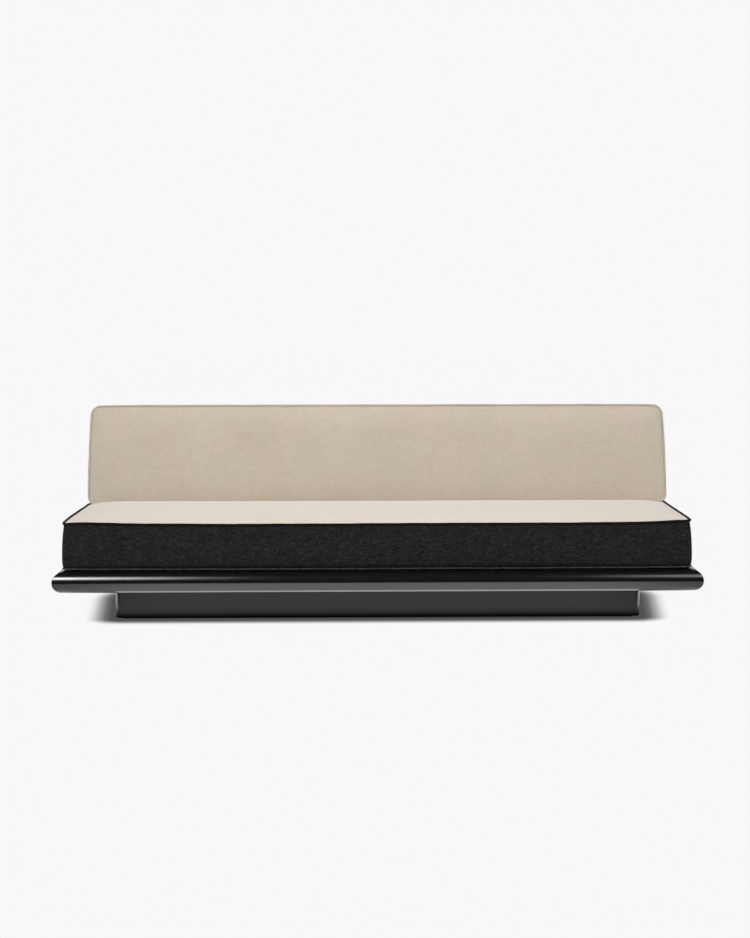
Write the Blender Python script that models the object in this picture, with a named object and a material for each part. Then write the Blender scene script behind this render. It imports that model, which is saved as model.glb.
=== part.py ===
# Low sofa: a loose seat mattress and a leaning backrest cushion on a lacquered platform and plinth.
# Metres, +Z up, front towards -Y, origin on the floor under the middle of the platform.

import math

import bmesh
import bpy

# Fits between neighbours
FIT_GAP = 0.0003

# Platform with a half-round edge
PLATFORM_WIDTH = 2.390
PLATFORM_DEPTH = 0.960
PLATFORM_THICKNESS = 0.080
RAIL_WIDTH = 0.075
RAIL_REBATE = 0.015
DECK_THICKNESS = 0.018
SOFFIT_THICKNESS = 0.009
RIB_THICKNESS = 0.040
RIB_BAYS = 4

# Recessed plinth
PLINTH_HEIGHT = 0.1179
PLINTH_SIDE_SETBACK = 0.204
PLINTH_FRONT_SETBACK = 0.205
PANEL_THICKNESS = 0.022
POST_SIZE = 0.050
POST_RADIUS = 0.022
STRETCHER_THICKNESS = 0.022
GLIDE_DIAMETER = 0.020
GLIDE_HEIGHT = 0.004
GLIDE_CHAMFER = 0.001
GLIDE_END_INSET = 0.030

# Bolts
BOLT_DIAMETER = 0.008
BOLT_HEAD_DIAMETER = 0.014
BOLT_HEAD_HEIGHT = 0.0045
BOLT_GRIP = 0.030
BOLT_TIP_ROOM = 0.001
COUNTERBORE_CLEARANCE = 0.0007
COUNTERBORE_DEPTH = 0.055

# Covers shared by both cushions
COVER_THICKNESS = 0.004
PANEL_RISE = 0.001
CROWN_ALONG = 8
CROWN_ACROSS = 6
DRAW_POWER = 3

# Seat mattress
SEAT_FRONT_SETBACK = 0.050
SEAT_SIDE_SETBACK = 0.036
SEAT_TUCK = 0.065
SEAT_THICKNESS = 0.1790
SEAT_CROWN = 0.014
SEAT_CORNER_RADIUS = 0.020
SEAT_SEAM_SAG = 0.012
SEAT_DRAW_IN = 0.004
SEAT_BULGE = 0.006
SEAT_BULGE_POWER = 2
SEAT_REAR_CLEARANCE = 0.002
SEAT_TOP_WELT_RADIUS = 0.0045
SEAT_BOTTOM_WELT_RADIUS = 0.0035

# Backrest cushion
BACK_LEAN_DEG = 12.0
BACK_HEIGHT = 0.383
BACK_THICKNESS = 0.165
BACK_SIDE_SETBACK = 0.036
BACK_TOP_MARGIN = 0.030
BACK_FRONT_CROWN = 0.014
BACK_REAR_CROWN = 0.008
BACK_CORNER_RADIUS = 0.030
BACK_SIDE_SWELL = 0.004
BACK_BULGE = 0.004
BACK_BULGE_POWER = 1
BACK_WELT_RADIUS = 0.0035
BACK_SEAT_GAP = 0.0005
BOARD_THICKNESS = 0.018

# Steel blades that carry the backrest
BLADE_WIDTH = 0.060
BLADE_THICKNESS = 0.008
BLADE_ENGAGEMENT = 0.220
FOOT_LENGTH = 0.095
FOOT_BOLT_FIRST = 0.042
FOOT_BOLT_EDGE = 0.019
SOCKET_WALL = 0.002
SOCKET_CLEARANCE = 0.0008
SOCKET_FOOT_GAP = 0.0004
SLOT_CLEARANCE = 0.004

# Mesh detail
CUT_OVERRUN = 0.060
ROUND_STEPS = 12
NOSE_STEPS = 12
POST_STEPS = 6
CORNER_STEPS = 2
LONG_SEGMENTS = 8
SHORT_SEGMENTS = 4
BOXING_ROWS = 4
SMOOTH_ANGLE = math.radians(35.0)

# Places that follow from the sizes
lean = math.radians(BACK_LEAN_DEG)
half_width = PLATFORM_WIDTH / 2
half_depth = PLATFORM_DEPTH / 2
plinth_bottom = GLIDE_HEIGHT + FIT_GAP
plinth_top = plinth_bottom + PLINTH_HEIGHT
platform_bottom = plinth_top + FIT_GAP
platform_top = platform_bottom + PLATFORM_THICKNESS
deck_bottom = platform_top - DECK_THICKNESS
soffit_top = platform_bottom + SOFFIT_THICKNESS
plinth_x = half_width - PLINTH_SIDE_SETBACK
plinth_y = half_depth - PLINTH_FRONT_SETBACK
post_x = plinth_x - POST_SIZE / 2
post_y = plinth_y - POST_SIZE / 2
rib_places = [post_x * (2 * i / RIB_BAYS - 1) for i in range(RIB_BAYS + 1)]
blade_places = {"left": rib_places[0], "centre": rib_places[RIB_BAYS // 2], "right": rib_places[-1]}

# Backrest front seam at its lower edge, then the mattress under it and the blades behind the mattress
back_y = (
    half_depth
    - BACK_TOP_MARGIN
    - (BACK_THICKNESS + BACK_REAR_CROWN) * math.cos(lean)
    - BACK_HEIGHT * math.sin(lean)
)
seat_front = -half_depth + SEAT_FRONT_SETBACK
seat_rear = back_y + SEAT_TUCK
seat_bottom = platform_top + FIT_GAP
seat_seam = seat_bottom + SEAT_THICKNESS
back_on_seat = (2 * back_y - seat_front - seat_rear) / (seat_rear - seat_front)
seat_top_at_back = seat_seam + PANEL_RISE + SEAT_CROWN * (1 - abs(back_on_seat) ** CROWN_ACROSS)
back_z = seat_top_at_back + BACK_SEAT_GAP + BACK_WELT_RADIUS
foot_bottom = platform_top + FIT_GAP
blade_y = seat_rear + SEAT_BULGE + SEAT_REAR_CLEARANCE
blade_depth = math.cos(lean) * (blade_y - back_y + (back_z - foot_bottom) * math.tan(lean))
socket_front = blade_depth - SOCKET_CLEARANCE - SOCKET_WALL
socket_rear = blade_depth + BLADE_THICKNESS + SOCKET_CLEARANCE + SOCKET_WALL
socket_low = socket_rear * math.tan(lean) + COVER_THICKNESS + SOCKET_FOOT_GAP
blade_top = socket_low + BLADE_ENGAGEMENT
socket_high = blade_top + FIT_GAP + SOCKET_WALL
board_rear = socket_front - FIT_GAP
board_front = board_rear - BOARD_THICKNESS

for old in list(bpy.data.objects):
    bpy.data.objects.remove(old, do_unlink=True)


def make_material(name, colour, roughness, metallic=0.0):
    material = bpy.data.materials.new(name)
    material.use_nodes = True
    shader = material.node_tree.nodes["Principled BSDF"]
    shader.inputs["Base Color"].default_value = (*colour, 1.0)
    shader.inputs["Roughness"].default_value = roughness
    shader.inputs["Metallic"].default_value = metallic
    material.diffuse_color = (*colour, 1.0)
    return material


lacquer = make_material("black_lacquer", (0.008, 0.008, 0.009), 0.12)
plywood = make_material("plywood", (0.56, 0.40, 0.24), 0.65)
timber = make_material("softwood", (0.64, 0.47, 0.28), 0.70)
black_steel = make_material("black_steel", (0.02, 0.02, 0.021), 0.45)
zinc_steel = make_material("zinc_steel", (0.55, 0.56, 0.58), 0.35, 1.0)
glide_plastic = make_material("glide_plastic", (0.03, 0.03, 0.03), 0.50)
foam = make_material("foam", (0.87, 0.82, 0.62), 0.90)
beige_velvet = make_material("beige_velvet", (0.58, 0.51, 0.42), 0.85)
black_velvet = make_material("black_velvet", (0.016, 0.016, 0.016), 0.90)


def place(name, data, material, location=(0, 0, 0), rotation=(0, 0, 0), parent=None):
    item = bpy.data.objects.new(name, data)
    bpy.context.scene.collection.objects.link(item)
    item.location = location
    item.rotation_euler = rotation
    item.parent = parent
    if material:
        data.materials.append(material)
    return item


def place_mesh(name, bm, material, location=(0, 0, 0), rotation=(0, 0, 0), parent=None):
    bmesh.ops.recalc_face_normals(bm, faces=bm.faces)
    mesh = bpy.data.meshes.new(name)
    bm.to_mesh(mesh)
    bm.free()
    mesh.shade_smooth()
    mesh.set_sharp_from_angle(angle=SMOOTH_ANGLE)
    return place(name, mesh, material, location, rotation, parent)


def board(name, low, high, material, parent=None):
    size = [b - a for a, b in zip(low, high)]
    centre = [(a + b) / 2 for a, b in zip(low, high)]
    bm = bmesh.new()
    bmesh.ops.create_cube(bm, size=1.0)
    bmesh.ops.scale(bm, vec=size, verts=bm.verts)
    return place_mesh(name, bm, material, centre, parent=parent)


def extruded(name, outline, along, material, location=(0, 0, 0), rotation=(0, 0, 0)):
    bm = bmesh.new()
    face = bm.faces.new([bm.verts.new(point) for point in outline])
    swept = bmesh.ops.extrude_face_region(bm, geom=[face])
    moved = [element for element in swept["geom"] if isinstance(element, bmesh.types.BMVert)]
    bmesh.ops.translate(bm, vec=along, verts=moved)
    return place_mesh(name, bm, material, location, rotation)


def turned(name, profile, material, location, rotation=(0, 0, 0)):
    bm = bmesh.new()
    points = [bm.verts.new((radius, 0, height)) for radius, height in profile]
    edges = [bm.edges.new(pair) for pair in zip(points, points[1:])]
    bmesh.ops.spin(
        bm, geom=points + edges, cent=(0, 0, 0), axis=(0, 0, 1), angle=math.tau, steps=ROUND_STEPS
    )
    bmesh.ops.remove_doubles(bm, verts=bm.verts, dist=FIT_GAP / 100)
    return place_mesh(name, bm, material, location, rotation)


def hide_cutter(cutter):
    cutter.hide_render = True
    cutter.display_type = "WIRE"
    return cutter


def drill(name, x, y, low, high, diameter):
    bm = bmesh.new()
    radius = diameter / 2
    bmesh.ops.create_cone(
        bm, cap_ends=True, segments=ROUND_STEPS, radius1=radius, radius2=radius, depth=high - low
    )
    return hide_cutter(place_mesh(name, bm, None, (x, y, (low + high) / 2)))


def cut(target, cutter):
    boolean = target.modifiers.new(cutter.name, "BOOLEAN")
    boolean.operation = "DIFFERENCE"
    boolean.solver = "EXACT"
    boolean.object = cutter


# Plinth: four panels between four rounded corner posts
panel_x = plinth_x - POST_SIZE - FIT_GAP
panel_y = plinth_y - POST_SIZE - FIT_GAP
inner_x = plinth_x - PANEL_THICKNESS
inner_y = plinth_y - PANEL_THICKNESS
board("plinth_front_panel", (-panel_x, -plinth_y, plinth_bottom), (panel_x, -inner_y, plinth_top), lacquer)
board("plinth_rear_panel", (-panel_x, inner_y, plinth_bottom), (panel_x, plinth_y, plinth_top), lacquer)
board("plinth_left_panel", (-plinth_x, -panel_y, plinth_bottom), (-inner_x, panel_y, plinth_top), lacquer)
board("plinth_right_panel", (inner_x, -panel_y, plinth_bottom), (plinth_x, panel_y, plinth_top), lacquer)

half_post = POST_SIZE / 2
arc_centre = half_post - POST_RADIUS
post_outline = [(-half_post, half_post, 0), (-half_post, -half_post, 0), (half_post, -half_post, 0)]
for step in range(POST_STEPS + 1):
    turn = math.pi / 2 * step / POST_STEPS
    post_outline.append(
        (arc_centre + POST_RADIUS * math.cos(turn), arc_centre + POST_RADIUS * math.sin(turn), 0)
    )
post_turns = {
    "rear_right": (1, 1, 0.0),
    "rear_left": (-1, 1, 0.5),
    "front_left": (-1, -1, 1.0),
    "front_right": (1, -1, 1.5),
}
posts = {}
for corner, (side, end, half_turns) in post_turns.items():
    posts[corner] = extruded(
        f"plinth_post_{corner}",
        post_outline,
        (0, 0, PLINTH_HEIGHT),
        lacquer,
        (side * post_x, end * post_y, plinth_bottom),
        (0, 0, half_turns * math.pi),
    )

for number, x in enumerate(rib_places[1:-1], start=1):
    board(
        f"plinth_stretcher_{number}",
        (x - STRETCHER_THICKNESS / 2, -inner_y + FIT_GAP, plinth_bottom),
        (x + STRETCHER_THICKNESS / 2, inner_y - FIT_GAP, plinth_top),
        timber,
    )

glide_x = panel_x - GLIDE_END_INSET
glide_y = plinth_y - PANEL_THICKNESS / 2
glide_radius = GLIDE_DIAMETER / 2
glide_profile = [
    (0, GLIDE_HEIGHT),
    (glide_radius, GLIDE_HEIGHT),
    (glide_radius, GLIDE_CHAMFER),
    (glide_radius - GLIDE_CHAMFER, 0),
    (0, 0),
]
for end, y in (("front", -glide_y), ("rear", glide_y)):
    for side, x in (("left", -glide_x), ("centre", 0), ("right", glide_x)):
        turned(f"glide_{end}_{side}", glide_profile, glide_plastic, (x, y, 0))

# Platform: mitred half-round rails, a deck and a soffit let into their rebates, and ribs between
nose = PLATFORM_THICKNESS / 2
ledge = RAIL_WIDTH - RAIL_REBATE
rail_profile = []
for step in range(NOSE_STEPS + 1):
    turn = math.pi * (step / NOSE_STEPS - 0.5)
    rail_profile.append((nose - nose * math.cos(turn), nose + nose * math.sin(turn)))
rail_profile += [
    (ledge, PLATFORM_THICKNESS),
    (ledge, PLATFORM_THICKNESS - DECK_THICKNESS - FIT_GAP),
    (RAIL_WIDTH, PLATFORM_THICKNESS - DECK_THICKNESS - FIT_GAP),
    (RAIL_WIDTH, SOFFIT_THICKNESS + FIT_GAP),
    (ledge, SOFFIT_THICKNESS + FIT_GAP),
    (ledge, 0),
]


def mitred_rail(name, length, location, turn):
    bm = bmesh.new()
    rings = []
    for end in (-1, 1):
        ring = []
        for inward, height in rail_profile:
            reach = length / 2 - inward - FIT_GAP / math.sqrt(2)
            ring.append(bm.verts.new((end * reach, inward, height)))
        bm.faces.new(ring)
        rings.append(ring)
    left, right = rings
    for i in range(len(rail_profile)):
        bm.faces.new((left[i - 1], left[i], right[i], right[i - 1]))
    return place_mesh(name, bm, lacquer, location, (0, 0, turn))


mitred_rail("platform_front_rail", PLATFORM_WIDTH, (0, -half_depth, platform_bottom), 0)
mitred_rail("platform_rear_rail", PLATFORM_WIDTH, (0, half_depth, platform_bottom), math.pi)
mitred_rail("platform_left_rail", PLATFORM_DEPTH, (-half_width, 0, platform_bottom), -math.pi / 2)
mitred_rail("platform_right_rail", PLATFORM_DEPTH, (half_width, 0, platform_bottom), math.pi / 2)

sheet_x = half_width - ledge - FIT_GAP
sheet_y = half_depth - ledge - FIT_GAP
deck = board("platform_deck", (-sheet_x, -sheet_y, deck_bottom), (sheet_x, sheet_y, platform_top), lacquer)
soffit = board(
    "platform_soffit", (-sheet_x, -sheet_y, platform_bottom), (sheet_x, sheet_y, soffit_top), lacquer
)
rib_y = half_depth - RAIL_WIDTH - FIT_GAP
ribs = []
for number, x in enumerate(rib_places, start=1):
    ribs.append(
        board(
            f"platform_rib_{number}",
            (x - RIB_THICKNESS / 2, -rib_y, soffit_top + FIT_GAP),
            (x + RIB_THICKNESS / 2, rib_y, deck_bottom - FIT_GAP),
            timber,
        )
    )

# Bolts: a low button head below its bearing face, with the shank above
bolt_radius = BOLT_DIAMETER / 2
head_radius = BOLT_HEAD_DIAMETER / 2
hole_diameter = BOLT_DIAMETER + 2 * FIT_GAP
counterbore_diameter = BOLT_HEAD_DIAMETER + 2 * COUNTERBORE_CLEARANCE


def bolt(name, length, location, rotation=(0, 0, 0)):
    profile = [
        (0, length),
        (bolt_radius, length),
        (bolt_radius, 0),
        (head_radius, 0),
        (head_radius, -BOLT_HEAD_HEIGHT / 3),
        (bolt_radius, -BOLT_HEAD_HEIGHT),
        (0, -BOLT_HEAD_HEIGHT),
    ]
    return turned(name, profile, zinc_steel, location, rotation)


# Plinth bolts: up through the corner posts and the soffit into the outer ribs
seat_of_head = plinth_bottom + COUNTERBORE_DEPTH
plinth_bolt_tip = soffit_top + FIT_GAP + BOLT_GRIP
for corner, (side, end, half_turns) in post_turns.items():
    x = side * post_x
    y = end * post_y
    below = plinth_bottom - CUT_OVERRUN
    counterbore = drill(f"counterbore_{corner}", x, y, below, seat_of_head, counterbore_diameter)
    shank = drill(f"shank_hole_{corner}", x, y, below, plinth_bolt_tip + BOLT_TIP_ROOM, hole_diameter)
    cut(posts[corner], counterbore)
    for pierced in (posts[corner], soffit, ribs[0] if side < 0 else ribs[-1]):
        cut(pierced, shank)
    bearing = seat_of_head - FIT_GAP
    bolt(f"plinth_bolt_{corner}", plinth_bolt_tip - bearing, (x, y, bearing))

# Blades: flat bars bent over a foot that is bolted through the deck into a rib
lean_y = math.sin(lean)
lean_z = math.cos(lean)
blade_low = (foot_bottom - back_z + blade_depth * lean_y) / lean_z
blade_length = blade_top - blade_low
bend = BLADE_THICKNESS * (1 + lean_y) / lean_z
blade_outline = [
    (0, 0, 0),
    (0, FOOT_LENGTH, 0),
    (0, FOOT_LENGTH, BLADE_THICKNESS),
    (0, BLADE_THICKNESS * lean_z + bend * lean_y, BLADE_THICKNESS),
    (0, blade_length * lean_y + BLADE_THICKNESS * lean_z, blade_length * lean_z - BLADE_THICKNESS * lean_y),
    (0, blade_length * lean_y, blade_length * lean_z),
]
foot_bolt_tip = deck_bottom - FIT_GAP - BOLT_GRIP
foot_top = foot_bottom + BLADE_THICKNESS
for side, x in blade_places.items():
    blade = extruded(
        f"support_blade_{side}",
        blade_outline,
        (BLADE_WIDTH, 0, 0),
        black_steel,
        (x - BLADE_WIDTH / 2, blade_y, foot_bottom),
    )
    for end, reach in (("front", FOOT_BOLT_FIRST), ("rear", FOOT_LENGTH - FOOT_BOLT_EDGE)):
        y = blade_y + reach
        bearing = foot_top + FIT_GAP
        hole_low = foot_bolt_tip - BOLT_TIP_ROOM
        hole = drill(f"foot_hole_{side}_{end}", x, y, hole_low, bearing + CUT_OVERRUN, hole_diameter)
        for pierced in (blade, deck, ribs[rib_places.index(x)]):
            cut(pierced, hole)
        bolt(f"blade_bolt_{side}_{end}", bearing - foot_bolt_tip, (x, y, bearing), (math.pi, 0, 0))


# Cushions are built face up: X along the width, Y across the face, Z out of the face, seam plane at Z = 0.
class Cushion:
    def __init__(self, half_width, low, high, low_slope, radius, side_draw, edge_draw, sag):
        self.half_width = half_width
        self.low = low
        self.high = high
        self.low_slope = low_slope
        self.radius = radius
        self.side_draw = side_draw
        self.edge_draw = edge_draw
        self.sag = sag


def line_parameter(index, segments, corner):
    # A few lines in each rounded corner, and sine spacing between, closer towards the ends
    step = index - CORNER_STEPS
    if step < 0:
        return -corner + (1 - corner) * step / CORNER_STEPS
    if step > segments:
        return corner + (1 - corner) * (step - segments) / CORNER_STEPS
    return corner * math.sin(math.pi / 2 * (2 * step / segments - 1))


def face_point(cushion, column, row, depth, inset, crown, sag_share):
    half_u = cushion.half_width - inset
    low = cushion.low + depth * cushion.low_slope + inset
    high = cushion.high - inset
    half_v = (high - low) / 2
    radius = cushion.radius - inset
    s = line_parameter(column, LONG_SEGMENTS, 1 - radius / half_u)
    t = line_parameter(row, SHORT_SEGMENTS, 1 - radius / half_v)
    u = s * half_u
    v = t * half_v
    p = (abs(u) - half_u + radius) / radius
    q = (abs(v) - half_v + radius) / radius
    if p > 0 and q > 0:
        u = math.copysign(half_u - radius + radius * p * math.sqrt(1 - q * q / 2), s)
        v = math.copysign(half_v - radius + radius * q * math.sqrt(1 - p * p / 2), t)
    u -= math.copysign(cushion.side_draw * (1 - t * t) * abs(s) ** DRAW_POWER, s)
    v -= math.copysign(cushion.edge_draw * (1 - s * s) * abs(t) ** DRAW_POWER, t)
    z = -depth + crown * (1 - abs(s) ** CROWN_ALONG) * (1 - abs(t) ** CROWN_ACROSS)
    z -= sag_share * cushion.sag * (1 - s * s) * ((1 - t) / 2) ** CROWN_ACROSS
    return (u, (low + high) / 2 + v, z)


columns = LONG_SEGMENTS + 2 * CORNER_STEPS
rows = SHORT_SEGMENTS + 2 * CORNER_STEPS
edge_cells = (
    [(column, 0) for column in range(columns)]
    + [(columns, row) for row in range(rows)]
    + [(column, rows) for column in range(columns, 0, -1)]
    + [(0, row) for row in range(rows, 0, -1)]
)


def slab(name, cushion, front, rear, inset, material, parent):
    # front and rear give depth, crown and the share of the seam's sag
    bm = bmesh.new()
    faces = []
    for depth, crown, sag_share in (front, rear):
        grid = {}
        for column in range(columns + 1):
            for row in range(rows + 1):
                point = face_point(cushion, column, row, depth, inset, crown, sag_share)
                grid[column, row] = bm.verts.new(point)
        faces.append(grid)
    for grid in faces:
        for column in range(columns):
            for row in range(rows):
                corners = ((0, 0), (1, 0), (1, 1), (0, 1))
                bm.faces.new([grid[column + i, row + j] for i, j in corners])
    top, bottom = faces
    for this, following in zip(edge_cells, edge_cells[1:] + edge_cells[:1]):
        bm.faces.new((top[this], top[following], bottom[following], bottom[this]))
    return place_mesh(name, bm, material, parent=parent)


def boxing(name, cushion, low_depth, high_depth, bulge, bulge_power, free_low, material, parent):
    # A closed band round the cushion: bulged outside, straight inside
    bm = bmesh.new()
    loops = []
    for step in range(BOXING_ROWS + 1):
        share = step / BOXING_ROWS
        depth = low_depth + (high_depth - low_depth) * share
        swell = bulge * math.sin(math.pi * share**bulge_power)
        loop = []
        for column, row in edge_cells:
            rise = 1.0 if free_low else row / rows
            loop.append(bm.verts.new(face_point(cushion, column, row, depth, -swell * rise, 0, 1 - share)))
        loops.append(loop)
    for depth, sag_share in ((high_depth, 0), (low_depth, 1)):
        loops.append(
            [
                bm.verts.new(face_point(cushion, column, row, depth, COVER_THICKNESS, 0, sag_share))
                for column, row in edge_cells
            ]
        )
    for this, following in zip(loops, loops[1:] + loops[:1]):
        for i in range(len(edge_cells)):
            bm.faces.new((this[i - 1], this[i], following[i], following[i - 1]))
    return place_mesh(name, bm, material, parent=parent)


def welt(name, cushion, depth, radius, sag_share, material, parent):
    curve = bpy.data.curves.new(name, "CURVE")
    curve.dimensions = "3D"
    curve.bevel_depth = radius
    curve.bevel_resolution = 1
    spline = curve.splines.new("POLY")
    spline.points.add(len(edge_cells) - 1)
    for point, (column, row) in zip(spline.points, edge_cells):
        point.co = (*face_point(cushion, column, row, depth, 0, 0, sag_share), 1)
    spline.use_cyclic_u = True
    return place(name, curve, material, parent=parent)


def guide(name, location, rotation):
    empty = bpy.data.objects.new(name, None)
    bpy.context.scene.collection.objects.link(empty)
    empty.location = location
    empty.rotation_euler = rotation
    return empty


# Seat mattress: beige top, black boxing and welts, one foam core, loose on the deck
seat_guide = guide("seat_guide", (0, 0, seat_seam), (0, 0, 0))
seat = Cushion(
    half_width - SEAT_SIDE_SETBACK,
    seat_front,
    seat_rear,
    0,
    SEAT_CORNER_RADIUS,
    SEAT_DRAW_IN,
    SEAT_DRAW_IN,
    SEAT_SEAM_SAG,
)
seat_inset = max(COVER_THICKNESS, SEAT_TOP_WELT_RADIUS) + FIT_GAP
panel_rear = COVER_THICKNESS - PANEL_RISE
core_bottom = SEAT_THICKNESS - COVER_THICKNESS - FIT_GAP
slab(
    "seat_top_panel",
    seat,
    (-PANEL_RISE, SEAT_CROWN, 1),
    (panel_rear, SEAT_CROWN, 1),
    seat_inset,
    beige_velvet,
    seat_guide,
)
slab(
    "seat_foam_core",
    seat,
    (panel_rear + FIT_GAP, SEAT_CROWN, 1),
    (core_bottom, 0, 0),
    seat_inset,
    foam,
    seat_guide,
)
slab(
    "seat_bottom_panel",
    seat,
    (core_bottom + FIT_GAP, 0, 0),
    (SEAT_THICKNESS, 0, 0),
    seat_inset,
    black_velvet,
    seat_guide,
)
boxing(
    "seat_boxing",
    seat,
    SEAT_TOP_WELT_RADIUS + FIT_GAP,
    SEAT_THICKNESS - 2 * SEAT_BOTTOM_WELT_RADIUS - FIT_GAP,
    SEAT_BULGE,
    SEAT_BULGE_POWER,
    True,
    black_velvet,
    seat_guide,
)
welt("seat_top_welt", seat, 0, SEAT_TOP_WELT_RADIUS, 1, black_velvet, seat_guide)
welt(
    "seat_bottom_welt",
    seat,
    SEAT_THICKNESS - SEAT_BOTTOM_WELT_RADIUS,
    SEAT_BOTTOM_WELT_RADIUS,
    0,
    black_velvet,
    seat_guide,
)

# Backrest cushion: foam on both sides of a board that carries the blade sockets
back_guide = guide("backrest_guide", (0, back_y, back_z), (math.pi / 2 - lean, 0, 0))
back = Cushion(
    half_width - BACK_SIDE_SETBACK,
    0,
    BACK_HEIGHT,
    math.tan(lean),
    BACK_CORNER_RADIUS,
    -BACK_SIDE_SWELL,
    0,
    0,
)
back_inset = max(COVER_THICKNESS, BACK_WELT_RADIUS) + FIT_GAP
slab(
    "backrest_front_panel",
    back,
    (-PANEL_RISE, BACK_FRONT_CROWN, 0),
    (panel_rear, BACK_FRONT_CROWN, 0),
    back_inset,
    beige_velvet,
    back_guide,
)
slab(
    "backrest_front_foam",
    back,
    (panel_rear + FIT_GAP, BACK_FRONT_CROWN, 0),
    (board_front - FIT_GAP, 0, 0),
    back_inset,
    foam,
    back_guide,
)
slab("backrest_board", back, (board_front, 0, 0), (board_rear, 0, 0), back_inset, plywood, back_guide)
rear_foam = slab(
    "backrest_rear_foam",
    back,
    (board_rear + FIT_GAP, 0, 0),
    (BACK_THICKNESS - panel_rear - FIT_GAP, -BACK_REAR_CROWN, 0),
    back_inset,
    foam,
    back_guide,
)
slab(
    "backrest_rear_panel",
    back,
    (BACK_THICKNESS - panel_rear, -BACK_REAR_CROWN, 0),
    (BACK_THICKNESS + PANEL_RISE, -BACK_REAR_CROWN, 0),
    back_inset,
    beige_velvet,
    back_guide,
)
back_boxing = boxing(
    "backrest_boxing",
    back,
    BACK_WELT_RADIUS + FIT_GAP,
    BACK_THICKNESS - BACK_WELT_RADIUS - FIT_GAP,
    BACK_BULGE,
    BACK_BULGE_POWER,
    False,
    beige_velvet,
    back_guide,
)
welt("backrest_front_welt", back, 0, BACK_WELT_RADIUS, 0, beige_velvet, back_guide)
welt("backrest_rear_welt", back, BACK_THICKNESS, BACK_WELT_RADIUS, 0, beige_velvet, back_guide)

# Sockets: steel sleeves, open below and capped above, that slip over the blades
socket_x = BLADE_WIDTH / 2 + SOCKET_CLEARANCE + SOCKET_WALL
slot_x = BLADE_WIDTH / 2 + SLOT_CLEARANCE
for side, x in blade_places.items():
    socket = board(
        f"backrest_socket_{side}",
        (x - socket_x, socket_low, -socket_rear),
        (x + socket_x, socket_high, -socket_front),
        black_steel,
        back_guide,
    )
    hollow = board(
        f"socket_hollow_{side}",
        (x - socket_x + SOCKET_WALL, socket_low - CUT_OVERRUN, -socket_rear + SOCKET_WALL),
        (x + socket_x - SOCKET_WALL, socket_high - SOCKET_WALL, -socket_front - SOCKET_WALL),
        None,
        back_guide,
    )
    cut(socket, hide_cutter(hollow))
    channel = board(
        f"foam_channel_{side}",
        (x - socket_x - FIT_GAP, socket_low - CUT_OVERRUN, -socket_rear - FIT_GAP),
        (x + socket_x + FIT_GAP, socket_high + FIT_GAP, -board_front),
        None,
        back_guide,
    )
    cut(rear_foam, hide_cutter(channel))
    slot = board(
        f"boxing_slot_{side}",
        (x - slot_x, -CUT_OVERRUN, -blade_depth - BLADE_THICKNESS - SLOT_CLEARANCE),
        (x + slot_x, socket_low + CUT_OVERRUN, -blade_depth + SLOT_CLEARANCE),
        None,
        back_guide,
    )
    cut(back_boxing, hide_cutter(slot))
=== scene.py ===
import math

import bpy
from mathutils import Matrix, Vector, noise


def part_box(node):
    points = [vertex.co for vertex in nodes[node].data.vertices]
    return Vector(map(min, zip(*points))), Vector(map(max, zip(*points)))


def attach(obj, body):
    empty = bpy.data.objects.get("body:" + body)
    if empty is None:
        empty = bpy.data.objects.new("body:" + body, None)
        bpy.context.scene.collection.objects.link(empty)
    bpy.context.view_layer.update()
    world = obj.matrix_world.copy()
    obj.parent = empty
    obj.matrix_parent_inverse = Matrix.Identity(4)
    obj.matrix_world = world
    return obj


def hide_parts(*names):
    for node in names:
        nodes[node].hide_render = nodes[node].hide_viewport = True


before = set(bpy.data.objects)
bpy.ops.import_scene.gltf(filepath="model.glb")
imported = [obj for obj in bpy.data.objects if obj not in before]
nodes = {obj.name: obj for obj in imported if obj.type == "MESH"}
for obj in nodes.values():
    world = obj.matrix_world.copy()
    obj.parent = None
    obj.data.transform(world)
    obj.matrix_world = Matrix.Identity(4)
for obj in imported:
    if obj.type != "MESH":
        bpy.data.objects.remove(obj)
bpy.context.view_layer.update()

scene = bpy.context.scene
noise.seed_set(11)  # so that the welts wander the same way each run
scene.view_settings.view_transform = "Standard"


# selection and small modelling helpers

def clearSelection():
    if bpy.context.mode != "OBJECT":
        bpy.ops.object.mode_set(mode="OBJECT")
    bpy.ops.object.select_all(action="DESELECT")


def takeHold(piece):
    clearSelection()
    piece.select_set(True)
    bpy.context.view_layer.objects.active = piece


def pickEdges(piece, test):
    takeHold(piece)
    bpy.ops.object.mode_set(mode="EDIT")
    bpy.ops.mesh.select_mode(type="EDGE")
    bpy.ops.mesh.select_all(action="DESELECT")
    bpy.ops.object.mode_set(mode="OBJECT")
    points = piece.data.vertices
    for edge in piece.data.edges:
        edge.select = test(points[edge.vertices[0]].co, points[edge.vertices[1]].co)
    bpy.ops.object.mode_set(mode="EDIT")


def pickFaces(piece, test):
    takeHold(piece)
    bpy.ops.object.mode_set(mode="EDIT")
    bpy.ops.mesh.select_mode(type="FACE")
    bpy.ops.mesh.select_all(action="DESELECT")
    bpy.ops.object.mode_set(mode="OBJECT")
    for face in piece.data.polygons:
        face.select = test(face.center, face.normal)
    bpy.ops.object.mode_set(mode="EDIT")


def roundPicked(radius, steps):
    bpy.ops.mesh.bevel(offset=radius, segments=steps, profile=0.5, affect="EDGES")


def addBlock(name, low, high):
    clearSelection()
    centre = [(a + b) / 2 for a, b in zip(low, high)]
    bpy.ops.mesh.primitive_cube_add(size=1, location=centre)
    block = bpy.context.object
    block.name = name
    block.scale = [b - a for a, b in zip(low, high)]
    bpy.ops.object.transform_apply(location=True, rotation=True, scale=True)
    return block


def smoothFaces(piece, degrees):
    takeHold(piece)
    bpy.ops.object.shade_smooth_by_angle(angle=math.radians(degrees))


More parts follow.
